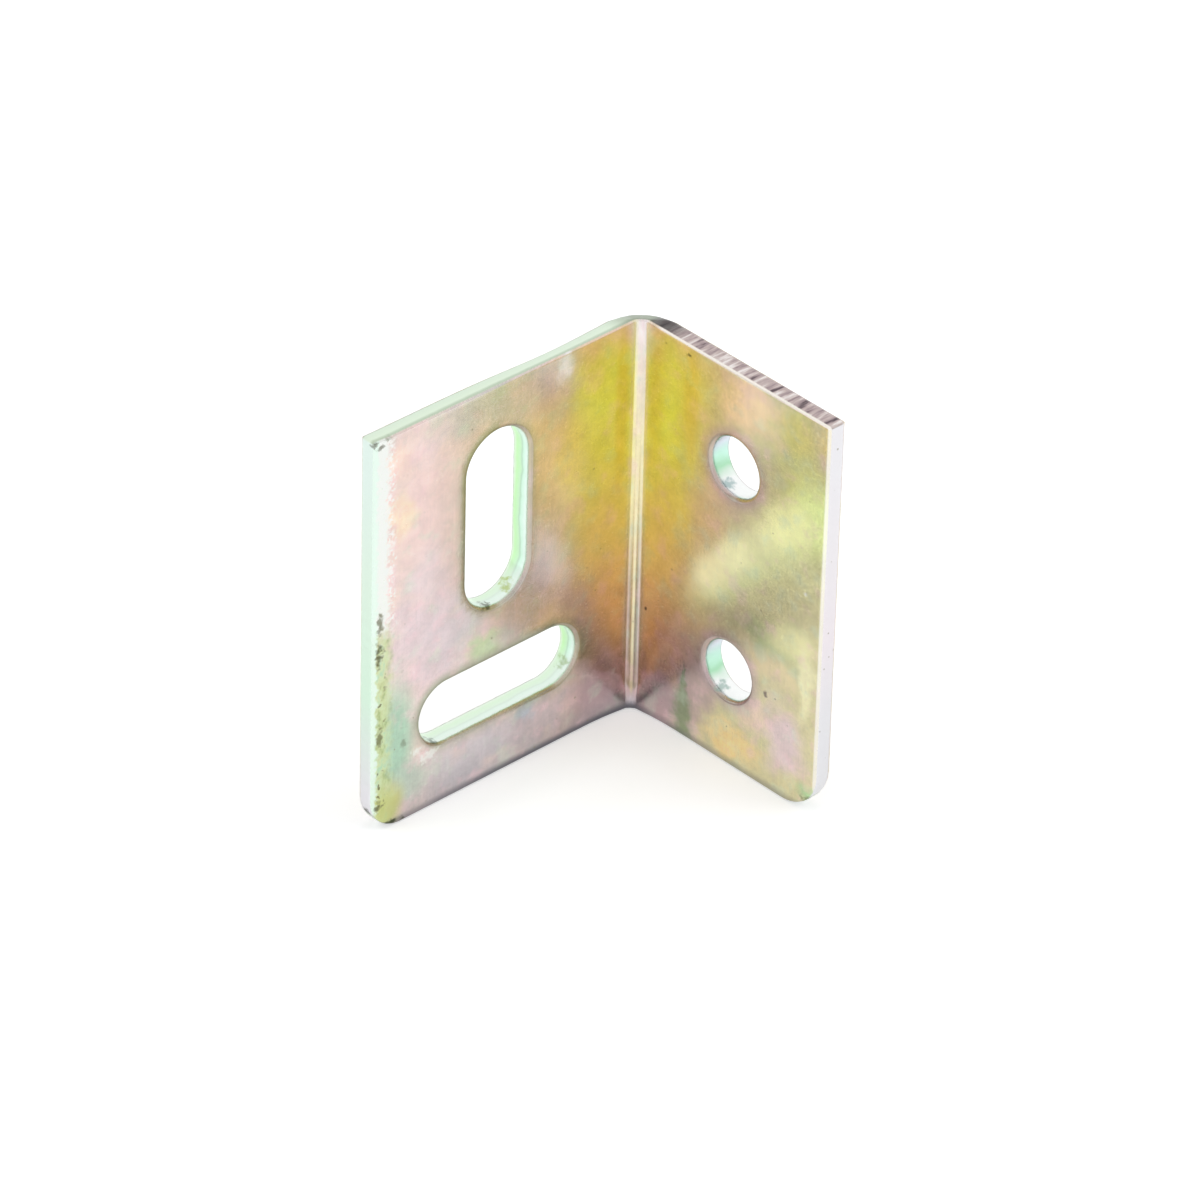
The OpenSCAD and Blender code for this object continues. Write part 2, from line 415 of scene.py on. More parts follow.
    def patch(under, middle, half_size, turn, strength, colour, where=cloudy_place):
        """One cloud of the film, or of painted sheen, on an inner face: an ellipse with a soft border."""
        off_middle = off_centre(where, (*middle, sheet_thickness), (*half_size, 1.6), turn)
        return tint(under, colour, eased(off_middle, 0.35, 1.25, strength, 0.0))

    # patches of the slotted leaf: middle along and up, half length and height, turn, strength, colour
    for row in (
        ((-11.2, 29.0), (2.6, 9.0), 0, 0.7, (0.80, 0.60, 0.34)),
        ((-17.0, 36.6), (7.0, 3.0), 0, 0.8, (0.62, 0.61, 0.58)),
        ((-20.2, 16.6), (3.4, 4.2), 0, 0.75, (0.64, 0.66, 0.66)),
        ((-24.5, 31.0), (4.0, 7.0), 0, 0.8, (0.90, 0.69, 0.66)),
        ((-26.7, 30.0), (1.8, 2.8), 0, 0.65, (0.97, 0.78, 0.54)),
        ((-26.8, 35.0), (2.0, 2.4), 0, 0.8, (0.94, 0.72, 0.62)),
        ((-23.0, 35.0), (2.0, 2.0), 0, 0.3, (0.80, 0.70, 0.76)),
        ((-23.5, 17.0), (5.5, 7.0), 0, 0.8, (0.75, 0.63, 0.67)),
        ((-24.0, 24.0), (2.4, 3.0), 0, 0.6, (0.79, 0.67, 0.70)),
        ((-18.5, 3.0), (8.0, 3.6), 0, 0.8, (0.58, 0.55, 0.59)),
        ((-11.0, 3.4), (4.0, 3.5), 0, 0.8, (0.56, 0.48, 0.50)),
        ((-12.2, 4.8), (1.6, 1.0), 20, 0.8, (0.46, 0.52, 0.58)),
        ((-16.5, 13.2), (2.2, 1.6), 0, 0.8, (0.55, 0.70, 0.42)),
        ((-12.6, 15.6), (2.8, 4.0), 0, 0.8, (0.61, 0.54, 0.57)),
        ((-3.7, 4.0), (3.0, 3.4), 0, 0.8, (0.50, 0.37, 0.39)),
        ((-9.0, 36.6), (0.9, 1.5), 0, 1.0, (0.98, 0.90, 0.95)),
        ((-6.6, 10.6), (2.4, 4.6), 0, 0.65, (0.59, 0.47, 0.46)),
    ):
        film = patch(film, *row)
    # patches of the leaf with the holes, two of them painted sheen
    for row in (
        ((14.0, 35.6), (5.0, 3.4), 0, 0.9, (0.95, 0.73, 0.49)),
        ((19.4, 32.6), (3.6, 6.4), 0, 0.9, (0.69, 0.71, 0.29)),
        # painted sheen: the next two rows brighten where the level slot mirrors in this leaf
        ((15.5, 21.5), (9.5, 5.0), 26, 0.95, (0.82, 0.80, 0.45)),
        ((20.0, 27.0), (3.4, 3.0), 30, 0.5, (0.88, 0.92, 0.42)),
        ((16.5, 14.8), (5.5, 2.4), 10, 0.9, (0.50, 0.57, 0.31)),
        ((9.2, 23.0), (2.6, 8.0), 0, 0.8, (0.72, 0.59, 0.36)),
        ((11.0, 27.0), (3.0, 3.4), 0, 0.5, (0.74, 0.60, 0.48)),
        ((12.4, 2.4), (3.4, 2.2), 0, 1.0, (0.88, 0.69, 0.34)),
        ((18.2, 5.6), (3.6, 4.0), 0, 1.0, (0.76, 0.62, 0.62)),
        ((16.0, 12.2), (4.0, 2.2), 0, 0.8, (0.80, 0.68, 0.44)),
        ((20.9, 12.6), (1.3, 4.2), 0, 0.9, (0.88, 0.84, 0.54)),
        ((21.4, 1.6), (1.7, 1.5), 0, 1.0, (0.42, 0.62, 0.33)),
        ((7.6, 6.0), (2.6, 5.0), 0, 0.8, (0.52, 0.40, 0.40)),
        ((3.6, 8.0), (2.4, 6.5), 0, 0.6, (0.76, 0.50, 0.30)),
    ):
        film = patch(film, *row)
    # clouds at exact places, with the soft upright stripes of the gold first; some of them are painted sheen
    for row in (
        ((-2.6, 30.0), (0.8, 9.0), 0, 0.6, (0.78, 0.58, 0.12)),
        ((3.9, 31.0), (1.3, 8.0), 0, 0.6, (0.82, 0.82, 0.24)),
        ((6.6, 33.0), (1.1, 6.0), 0, 0.6, (0.78, 0.58, 0.14)),
        ((1.8, 26.0), (0.7, 8.0), 0, 0.25, (0.74, 0.58, 0.22)),
        ((-6.4, 31.4), (2.1, 4.6), 0, 0.8, (0.86, 0.81, 0.26)),
        ((-12.5, 35.4), (3.5, 3.0), 0, 0.5, (0.78, 0.62, 0.62)),
        # painted sheen: the next two rows brighten where the level slot mirrors in the leaf with the holes
        ((12.0, 20.4), (3.0, 2.0), 30, 0.6, (0.98, 0.93, 0.55)),
        ((20.6, 22.6), (2.2, 2.6), 0, 0.5, (0.95, 0.95, 0.55)),
        ((4.6, 3.0), (1.8, 2.0), 0, 0.7, (0.46, 0.36, 0.40)),
        ((2.9, 7.0), (1.0, 3.4), 0, 0.6, (0.90, 0.56, 0.22)),
        ((-8.4, 28.4), (1.8, 3.8), 0, 0.6, (0.86, 0.72, 0.26)),
        ((18.8, 35.6), (2.4, 2.2), 0, 0.6, (0.78, 0.68, 0.24)),
        ((-27.0, 8.4), (2.5, 6.2), 0, 0.95, (0.42, 0.63, 0.48)),
        ((-25.4, 3.6), (2.0, 2.6), 0, 0.7, (0.48, 0.60, 0.50)),
        ((-27.6, 2.2), (1.9, 2.6), 0, 0.9, (0.60, 0.58, 0.24)),
        # painted sheen: the next three rows brighten where the level slot mirrors in the leaf with the holes
        ((21.0, 28.6), (2.8, 4.0), 0, 0.85, (0.92, 1.0, 0.46)),
        ((9.6, 17.2), (2.4, 2.4), 0, 0.8, (0.95, 0.86, 0.50)),
        ((18.4, 26.4), (4.0, 2.6), 32, 0.9, (1.0, 0.98, 0.52)),
        ((19.0, 15.8), (3.4, 2.0), 12, 0.8, (0.92, 0.88, 0.50)),
        ((14.6, 6.4), (2.2, 2.0), 0, 0.6, (0.90, 0.68, 0.60)),
        ((22.3, 36.6), (1.4, 2.2), 0, 0.7, (0.86, 0.72, 0.30)),
    ):
        film = patch(film, *row, where=place)
    # a mauve ring around each round hole, an olive one around each slot
    on_hole_leaf = eased(true_along, 2.0, 5.0, 0.0, 1.0)
    ring_share = eased(depth, 0.5, 1.3, 0.3, 1.0)
    hole_ring = both(both(on_hole_leaf, ring_share), eased(from_opening, 0.3, 1.7, 0.6, 0.0))
    film = tint(film, (0.52, 0.41, 0.43), hole_ring)
    on_slot_leaf = eased(true_along, -5.0, -6.0, 0.0, 1.0)
    # painted shade: below and toward the fold the slots' rims face the light, and their rings are fainter
    # there; on the far sides the olive ring is painted darker
    by_upright_slot = eased(true_up, 14.0, 15.5, 0.0, 1.0)
    lower_side = calc("MAXIMUM", eased(true_up, 9.5, 7.5, 0.0, 1.0),
                      both(by_upright_slot, eased(true_up, 21.0, 18.5, 0.0, 1.0)))
    fold_side = calc("MAXIMUM", eased(true_along, -10.0, -8.5, 0.0, 1.0),
                     both(by_upright_slot, eased(true_along, -17.0, -15.0, 0.0, 1.0)))
    unlit = both(calc("SUBTRACT", 1.0, calc("MAXIMUM", lower_side, fold_side)), on_slot_leaf)
    slot_ring_and_shade = both(both(on_slot_leaf, ring_share), eased(from_opening, 0.3, 1.4, 0.9, 0.0))
    slot_ring_and_shade = both(slot_ring_and_shade, eased(unlit, 0.0, 1.0, 0.45, 1.0))
    film = tint(film, (0.42, 0.44, 0.34), slot_ring_and_shade)

    # painted highlights and shade in the hollow of the fold, tinted like the film: light and dark lines
    # where its flutes mirror the room and the other leaf, and the squeezed foot of the fold below them
    fold_share = calc("ADD", calc("DIVIDE", true_along, fold_length), 0.5)
    low_fold_light_lines = ramp_of(fold_share, (
        (0.02, (0.62, 0.44, 0.30)), (0.10, (0.80, 0.70, 0.68)), (0.20, (0.62, 0.50, 0.46)),
        (0.30, (0.36, 0.28, 0.20)), (0.42, (0.80, 0.72, 0.48)), (0.52, (0.97, 0.90, 0.60)),
        (0.62, (0.54, 0.53, 0.43)), (0.70, (0.34, 0.35, 0.30)), (0.80, (0.72, 0.64, 0.62)),
        (0.90, (0.90, 0.80, 0.80)), (0.99, (0.60, 0.46, 0.30))))
    high_fold_light_lines = ramp_of(fold_share, (
        (0.02, (0.76, 0.70, 0.26)), (0.14, (0.82, 0.76, 0.32)), (0.26, (0.88, 0.82, 0.50)),
        (0.38, (0.82, 0.70, 0.66)), (0.56, (0.82, 0.68, 0.68)), (0.72, (0.80, 0.70, 0.71)),
        (0.86, (0.88, 0.77, 0.72)), (0.99, (0.80, 0.70, 0.42))))
    high_fold_light_lines = tint(high_fold_light_lines, (0.88, 0.82, 0.46), eased(true_up, 34.0, 25.0, 0.0, 0.65))
    painted_fold_light_lines = tint(low_fold_light_lines, high_fold_light_lines, eased(true_up, 9.0, 24.0, 0.0, 1.0))
    off_fold = calc("ABSOLUTE", true_along)
    in_fold = eased(off_fold, 1.35, 1.75, 0.8, 0.0)
    film = tint(film, painted_fold_light_lines, both(both(in_fold, inner_face), eased(up, 0.8, 3.0, 0.0, 1.0)))
    # painted reflection: a slanting border, where the mirrored floor meets the mirrored other leaf, runs
    # down to the foot on both leaves, painted dark brown over it, mauve under it and pale pink along it
    above_mirrored_border = calc("SUBTRACT", true_up, both(calc("SUBTRACT", off_fold, fold_length / 4), 0.9))
    above_mirrored_border = calc("ADD", above_mirrored_border, both(calc("SUBTRACT", mottle(place, 0.5, 3.0), 0.5), 3.0))
    beside_foot = both(eased(true_along, -9.0, -5.0, 0.0, 1.0), eased(true_along, 3.0, 6.0, 1.0, 0.0))
    beside_foot = both(beside_foot, inner_face)
    painted_dark_reflection = both(eased(above_mirrored_border, 1.7, 2.5, 0.0, 0.45), eased(above_mirrored_border, 2.8, 6.8, 1.0, 0.0))
    film = tint(film, (0.40, 0.27, 0.17), both(beside_foot, painted_dark_reflection))
    film = tint(film, (0.54, 0.39, 0.41), both(beside_foot, eased(above_mirrored_border, 1.5, 2.4, 0.8, 0.0)))
    painted_pale_reflection = both(eased(above_mirrored_border, -0.4, 0.8, 0.0, 0.5), eased(above_mirrored_border, 1.2, 2.6, 1.0, 0.0))
    film = tint(film, (0.92, 0.70, 0.70), both(beside_foot, painted_pale_reflection))
    grey_foot = both(eased(off_fold, 0.8, 2.2, 0.6, 0.0), eased(true_up, 0.6, 1.8, 1.0, 0.0))
    film = tint(film, (0.52, 0.52, 0.58), both(grey_foot, inner_face))
    # a dull green stain that widens toward the foot of the leaf with the holes
    stain_half = eased(true_up, 1.0, 7.6, 1.7, 0.1)
    stain_wander = both(calc("SUBTRACT", mottle(place, 1.3, 4.0, 0.7), 0.5), 1.6)
    stain_off = calc("ADD", calc("SUBTRACT", true_along, 6.75), stain_wander)
    stain_off = calc("DIVIDE", calc("ABSOLUTE", stain_off), stain_half)
    stain_top = both(eased(true_up, 6.6, 7.8, 1.0, 0.0), inner_face)
    film = tint(film, (0.24, 0.33, 0.18), both(stain_top, eased(stain_off, 0.2, 1.2, 0.8, 0.0)))

    # painted shade: the slotted leaf is darker along its bottom edge, where it mirrors the shadowed floor,
    # and the fold's top is drawn out pale
    film = tint(film, (0.34, 0.33, 0.35), both(both(inner_face, eased(true_up, 3.2, 0.2, 0.0, 0.55)),
                                               eased(true_along, -0.5, -2.5, 0.0, 1.0)))
    drawn_out = both(eased(off_fold, 1.0, 2.4, 0.48, 0.0), eased(true_up, 33.5, 37.0, 0.0, 1.0))
    film = tint(film, (0.86, 0.84, 0.84), both(drawn_out, inner_face))

    # faint rose and green clouding, rolling streaks along the sheet's height, the plating's fine grain, and
    # painted shade on the outer faces
    drift = mottle(place, 0.42, 3.0, 0.55)
    film = tint(film, (0.88, 0.62, 0.66), eased(drift, 0.52, 0.72, 0.0, 0.35))
    film = tint(film, (0.62, 0.74, 0.60), eased(drift, 0.48, 0.30, 0.0, 0.30))
    streak = mottle(stretched(place, (7.0, 0.12, 1.0)), 1.0, 3.0, 0.6)
    grain = mottle(place, 3.2, 5.0, 0.75)
    soft_cloud = mottle(place, 0.6, 4.0, 0.6)
    tone_and_outer_shade = calc("ADD", eased(streak, 0.25, 0.75, 0.93, 0.98), eased(grain, 0.2, 0.8, -0.07, 0.07))
    tone_and_outer_shade = calc("ADD", tone_and_outer_shade, eased(soft_cloud, 0.3, 0.7, -0.05, 0.05))
    # painted shade: the outer faces are painted darker than the inner ones
    tone_and_outer_shade = both(tone_and_outer_shade, eased(depth, 0.5, 1.3, 0.66, 1.0))
    grey = node(tree, "ShaderNodeCombineColor", {0: tone_and_outer_shade, 1: tone_and_outer_shade, 2: tone_and_outer_shade}).outputs[0]
    film = node(tree, "ShaderNodeMix", {"Factor": 1.0, 6: film, 7: grey}, data_type="RGBA",
                blend_type="MULTIPLY").outputs[2]

    # the slotted leaf's end is rubbed to bare zinc above and to stained khaki below, with a ragged border
    from_end = calc("SUBTRACT", true_along, slot_end)
    ragged = calc("ADD", from_end, both(calc("SUBTRACT", mottle(place, 1.1, 4.0, 0.7), 0.5), 2.0))
    ragged_up = calc("ADD", true_up, both(calc("SUBTRACT", soft_cloud, 0.5), 10.0))
    low_part = eased(ragged_up, 17.0, 21.0, 1.0, 0.0)
    high_part = calc("SUBTRACT", 1.0, low_part)
    bare_zinc = both(both(high_part, inner_face), eased(ragged, 1.3, 1.9, 1.0, 0.0))
    film = tint(film, (0.80, 0.82, 0.78), bare_zinc)
    bare_border = both(eased(ragged, 1.3, 1.7, 0.0, 1.0), eased(ragged, 1.9, 2.6, 1.0, 0.0))
    bare_border = both(both(bare_border, inner_face), high_part)
    film = tint(film, (0.90, 0.90, 0.88), both(bare_border, eased(grain, 0.47, 0.6, 0.0, 0.8)))
    khaki = ramp_of(mottle(stretched(place, (1.0, 0.5, 1.0)), 1.0, 4.0, 0.65), (
        (0.36, (0.34, 0.44, 0.18)), (0.46, (0.52, 0.60, 0.30)), (0.56, (0.58, 0.68, 0.40)),
        (0.66, (0.44, 0.64, 0.42))))
    film = tint(film, khaki, both(both(low_part, inner_face), eased(ragged, 1.1, 2.5, 0.9, 0.0)))
    film = patch(film, (-28.0, 1.8), (1.8, 2.6), 0, 0.75, (0.55, 0.57, 0.22), where=place)
    blot_wander = node(tree, "ShaderNodeTexNoise", {"Vector": place, "Scale": 2.2, "Detail": 2.0})
    blot_wander = as_vector(blot_wander.outputs["Color"])
    blot_wander = node(tree, "ShaderNodeVectorMath", {0: blot_wander, "Scale": 0.7}, operation="SCALE")
    blot_place = arithmetic(tree, "ShaderNodeVectorMath", "ADD", place, blot_wander.outputs[0])
    blots = specks(1.7, 0.95, 0.42, blot_place)
    few_blots = both(specks(1.2, 0.30, 0.34, blot_place), eased(from_end, 1.2, 4.0, 0.6, 0.0))
    blotch_line = both(eased(from_end, 0.35, 0.6, 0.0, 1.0), eased(from_end, 0.9, 1.7, 1.0, 0.0))
    blotch_line = both(both(blotch_line, inner_face), low_part)
    film = tint(film, (0.14, 0.13, 0.06), both(blotch_line, both(blots, 0.8)))
    film = tint(film, (0.24, 0.24, 0.12), both(both(few_blots, inner_face), low_part))
    ragged_rim = calc("ADD", from_end, both(calc("SUBTRACT", mottle(place, 1.6, 4.0, 0.65), 0.5), 1.4))
    film = tint(film, (0.72, 0.86, 0.76), both(inner_face, eased(ragged_rim, 0.3, 0.65, 0.9, 0.0)))
    # painted highlight: a thin bright line along the inner edge of the other end
    painted_end_highlight = eased(true_along, hole_end - 0.4, hole_end - 0.25, 0.0, 0.6)
    film = tint(film, (0.90, 0.88, 0.86), both(inner_face, painted_end_highlight))

    # cut walls of the slots: a green band toward the outer face, a dull line, then mint up to the rim
    wall_cloud = calc("SUBTRACT", mottle(place, 0.35, 2.0), 0.5)
    across_wall = calc("ADD", calc("DIVIDE", depth, sheet_thickness), both(wall_cloud, 0.3))
    wall_film = ramp_of(across_wall, (
        (0.00, (0.78, 0.90, 0.76)), (0.20, (0.56, 0.88, 0.48)), (0.40, (0.58, 0.86, 0.56)),
        (0.49, (0.50, 0.71, 0.53)), (0.57, (0.64, 0.88, 0.72)), (0.78, (0.76, 0.92, 0.83)),
        (0.95, (0.82, 0.90, 0.82))))
    # painted light: cut walls that face up are painted paler
    wall_film = tint(wall_film, (0.88, 0.95, 0.89), eased(rise, 0.2, 0.8, 0.0, 0.6))
    # walls of the round holes, with painted light and shade: dark lilac at the top where the wall faces
    # down, ice and mint at the side, painted white at the bottom where it faces up
    hole_wall_facing_up = calc("ADD", calc("ADD", both(rise, 0.5), 0.5), both(wall_cloud, 0.3))
    hole_wall_film_and_light = ramp_of(hole_wall_facing_up, (
        (0.05, (0.36, 0.33, 0.36)), (0.18, (0.64, 0.60, 0.68)), (0.34, (0.68, 0.76, 0.82)),
        (0.54, (0.58, 0.86, 0.74)), (0.74, (0.46, 0.80, 0.54)), (0.90, (0.97, 0.99, 0.98))))
    wall_film = tint(wall_film, hole_wall_film_and_light, on_hole_leaf)
    wall_film = tint(wall_film, (0.56, 0.62, 0.52), eased(from_opening, 0.5, 0.9, 0.0, 1.0))
    # the outer edges: a grey-green top, lilac and mint ends
    at_top = eased(true_up, plate_height - 1.4, plate_height - 0.9, 0.0, 1.0)
    at_top = both(at_top, eased(rise, 0.2, 0.6, 0.0, 1.0))
    top_film = ramp_of(calc("DIVIDE", depth, sheet_thickness), (
        (0.18, (0.44, 0.54, 0.42)), (0.34, (0.72, 0.84, 0.70)), (0.70, (0.76, 0.88, 0.72)),
        (0.86, (0.52, 0.62, 0.48)), (0.96, (0.60, 0.68, 0.54))))
    top_film = tint(top_film, (0.24, 0.27, 0.20), eased(true_along, -4.0, -0.5, 0.0, 0.75))
    end_height = calc("DIVIDE", true_up, plate_height)
    hole_end_film = ramp_of(end_height, (
        (0.25, (0.76, 0.75, 0.78)), (0.45, (0.82, 0.75, 0.79)), (0.65, (0.80, 0.76, 0.79)),
        (0.88, (0.79, 0.77, 0.80))))
    wall_film = tint(wall_film, hole_end_film, eased(true_along, hole_end - 1.0, hole_end - 0.5, 0.0, 0.9))
    end_film = ramp_of(end_height, (
        (0.10, (0.76, 0.74, 0.78)), (0.35, (0.64, 0.84, 0.68)), (0.65, (0.68, 0.82, 0.70)),
        (0.90, (0.70, 0.82, 0.76))))
    wall_film = tint(wall_film, end_film, eased(true_along, slot_end + 0.5, slot_end + 0.2, 0.0, 0.9))
    wall_film = tint(wall_film, top_film, at_top)
    torn = mottle(stretched(place, (1.5, 1.0, 0.2)), 1.0, 4.0, 0.65)
    torn_top = ramp_of(torn, (
        (0.36, (0.12, 0.09, 0.10)), (0.45, (0.40, 0.31, 0.32)), (0.54, (0.58, 0.48, 0.46)),
        (0.66, (0.92, 0.88, 0.86))))
    torn_top = tint(torn_top, (0.04, 0.04, 0.04), eased(true_along, 5.5, 3.0, 0.0, 0.85))
    wall_film = tint(wall_film, torn_top, both(at_top, eased(true_along, 0.8, 2.0, 0.0, 1.0)))
    film = tint(film, wall_film, eased(wall, 0.25, 0.75, 0.0, 1.0))

    # rims: painted shade, a dull olive or mauve band along the roll that is darker on the side away from the
    # light, and a painted contact shadow as a dark line along the foot
    rim_shade_band = both(eased(wall, 0.02, 0.2, 0.0, 1.0), eased(wall, 0.5, 0.85, 1.0, 0.0))
    rim_shade_band = both(rim_shade_band, eased(from_opening, 0.5, 0.9, 0.8, 0.0))
    rim_shade_band = both(rim_shade_band, eased(unlit, 0.0, 1.0, 0.4, 1.0))
    rim_shade_film = tint(tint(film, (0.30, 0.32, 0.22), on_slot_leaf), (0.44, 0.35, 0.37), on_hole_leaf)
    film = tint(film, rim_shade_film, rim_shade_band)
    # painted shade: the first slope of each rolled rim mirrors the bright room, and a dark band is painted
    # over it, stronger on the side away from the light
    rim_slope_shade = both(eased(from_opening, 0.55, 0.30, 0.0, 0.5), eased(from_opening, 0.10, 0.22, 0.0, 1.0))
    rim_slope_shade = both(both(rim_slope_shade, inner_face), eased(wall, 0.1, 0.3, 1.0, 0.0))
    rim_slope_shade = both(rim_slope_shade, eased(unlit, 0.0, 1.0, 0.7, 1.0))
    rim_slope_shade_film = tint(tint(film, (0.22, 0.23, 0.15), on_slot_leaf), (0.36, 0.29, 0.30), on_hole_leaf)
    film = tint(film, rim_slope_shade_film, rim_slope_shade)
    # painted contact shadow: a dark line along the foot, darker toward the fold and fainter on the leaf with
    # the holes
    painted_foot_shadow = tint(film, (0.13, 0.13, 0.15), eased(true_along, -26.0, -12.0, 0.6, 0.95))
    foot_shadow_share = both(eased(true_up, 1.0, 0.25, 0.0, 1.0), eased(true_along, 1.0, 4.0, 1.0, 0.5))
    film = tint(film, painted_foot_shadow, both(foot_shadow_share, inner_face))
    # painted highlight: a bright line along the inner top edge of the leaf with the holes
    painted_top_highlight = eased(true_up, plate_height - 0.32, plate_height - 0.2, 0.0, 0.9)
    painted_top_highlight = both(painted_top_highlight, eased(depth, 1.78, 1.9, 0.0, 1.0))
    film = tint(film, (0.95, 0.91, 0.86), both(painted_top_highlight, eased(true_along, 2.0, 3.0, 0.0, 1.0)))

    # small marks have borders that crumble
    crumbs = mottle(place, 1.9, 4.0, 0.65)

    def mark(under, middle, half_size, strength, colour):
        """One small mark at an exact place, with a broken border."""
        off_middle = off_centre(place, middle, half_size, 0)
        broken = calc("ADD", off_middle, both(calc("SUBTRACT", crumbs, 0.5), 3.5))
        return tint(under, colour, eased(broken, 0.3, 1.2, strength, 0.0))

    # stains and chips: in the ends of the slots and holes, at the corners of the slotted leaf, on the faces
    for row in (
        ((-16.9, 16.9, 1.5), (0.6, 0.4, 0.6), 0.8, (0.10, 0.11, 0.07)),
        ((-14.2, 17.6, 1.0), (0.7, 0.7, 0.7), 0.7, (0.40, 0.50, 0.08)),
        ((-22.7, 6.1, 1.4), (0.7, 0.4, 0.7), 0.8, (0.12, 0.16, 0.12)),
        ((-7.5, 6.9, 1.0), (0.6, 0.6, 0.6), 0.6, (0.30, 0.42, 0.14)),
        ((10.6, 26.6, 1.3), (0.6, 0.5, 0.6), 0.6, (0.16, 0.34, 0.34)),
        ((10.8, 31.4, 1.7), (0.5, 0.3, 0.4), 0.8, (0.18, 0.17, 0.14)),
        ((10.6, 6.8, 1.3), (0.6, 0.5, 0.6), 0.6, (0.18, 0.36, 0.30)),
        ((10.7, 11.7, 1.8), (0.6, 0.3, 0.5), 0.6, (0.26, 0.20, 0.20)),
        ((-29.2, 37.7, 1.9), (0.30, 0.25, 0.5), 0.8, (0.16, 0.16, 0.12)),
        ((-28.6, 37.3, 2.0), (0.35, 0.22, 0.5), 0.8, (0.16, 0.16, 0.12)),
        ((-27.9, 37.8, 1.9), (0.40, 0.20, 0.5), 0.7, (0.20, 0.22, 0.14)),
        ((-29.3, 1.9, 1.0), (0.6, 0.5, 0.6), 0.9, (0.06, 0.06, 0.04)),
        ((-28.7, 2.6, 1.9), (0.3, 0.7, 0.5), 0.8, (0.10, 0.10, 0.05)),
        ((-27.3, 0.4, 1.8), (1.2, 0.4, 0.6), 0.95, (0.05, 0.06, 0.03)),
        ((21.6, 1.3, 1.9), (0.9, 0.5, 0.5), 0.8, (0.14, 0.16, 0.06)),
        ((-28.6, 20.4, 2.0), (0.35, 1.2, 0.5), 0.8, (0.14, 0.14, 0.07)),
        ((-28.7, 17.4, 2.0), (0.40, 1.0, 0.5), 0.9, (0.10, 0.10, 0.04)),
        ((-28.6, 9.4, 2.0), (0.35, 1.0, 0.5), 0.8, (0.16, 0.16, 0.08)),
        ((-26.0, 7.6, 2.0), (0.4, 0.6, 0.5), 0.7, (0.24, 0.30, 0.22)),
        ((2.0, 10.3, 2.0), (0.2, 0.3, 0.5), 0.9, (0.08, 0.06, 0.04)),
        ((6.1, 37.0, 2.0), (0.3, 0.2, 0.5), 0.8, (0.12, 0.11, 0.07)),
        ((16.3, 9.2, 2.0), (0.22, 0.30, 0.5), 0.8, (0.16, 0.12, 0.12)),
        ((20.4, 21.0, 2.0), (0.28, 0.35, 0.5), 0.9, (0.95, 0.96, 0.93)),
        ((-23.4, 5.3, 2.0), (1.2, 0.6, 0.5), 0.5, (0.88, 0.92, 0.88)),
        ((-24.6, 6.2, 2.0), (0.8, 0.4, 0.5), 0.5, (0.88, 0.92, 0.88)),
    ):
        film = mark(film, *row)

    # a few brown specks all over, and a slight unevenness of the gloss
    film = tint(film, (0.26, 0.23, 0.13), both(specks(2.0, 0.05, 0.26, place), 0.6))
    rough = calc("ADD", eased(grain, 0.2, 0.8, 0.19, 0.29), both(wall, 0.08))
    dent_height = calc("ADD", both(grain, 0.6), both(streak, 0.5))
    dents = node(tree, "ShaderNodeBump", {"Height": dent_height, "Strength": 0.035, "Distance": 0.0001})
    metal = node(tree, "ShaderNodeBsdfPrincipled", {
        "Base Color": film, "Metallic": 1.0, "Roughness": rough, "Normal": dents.outputs["Normal"]})
    node(tree, "ShaderNodeOutputMaterial", {0: metal.outputs[0]})
    return material


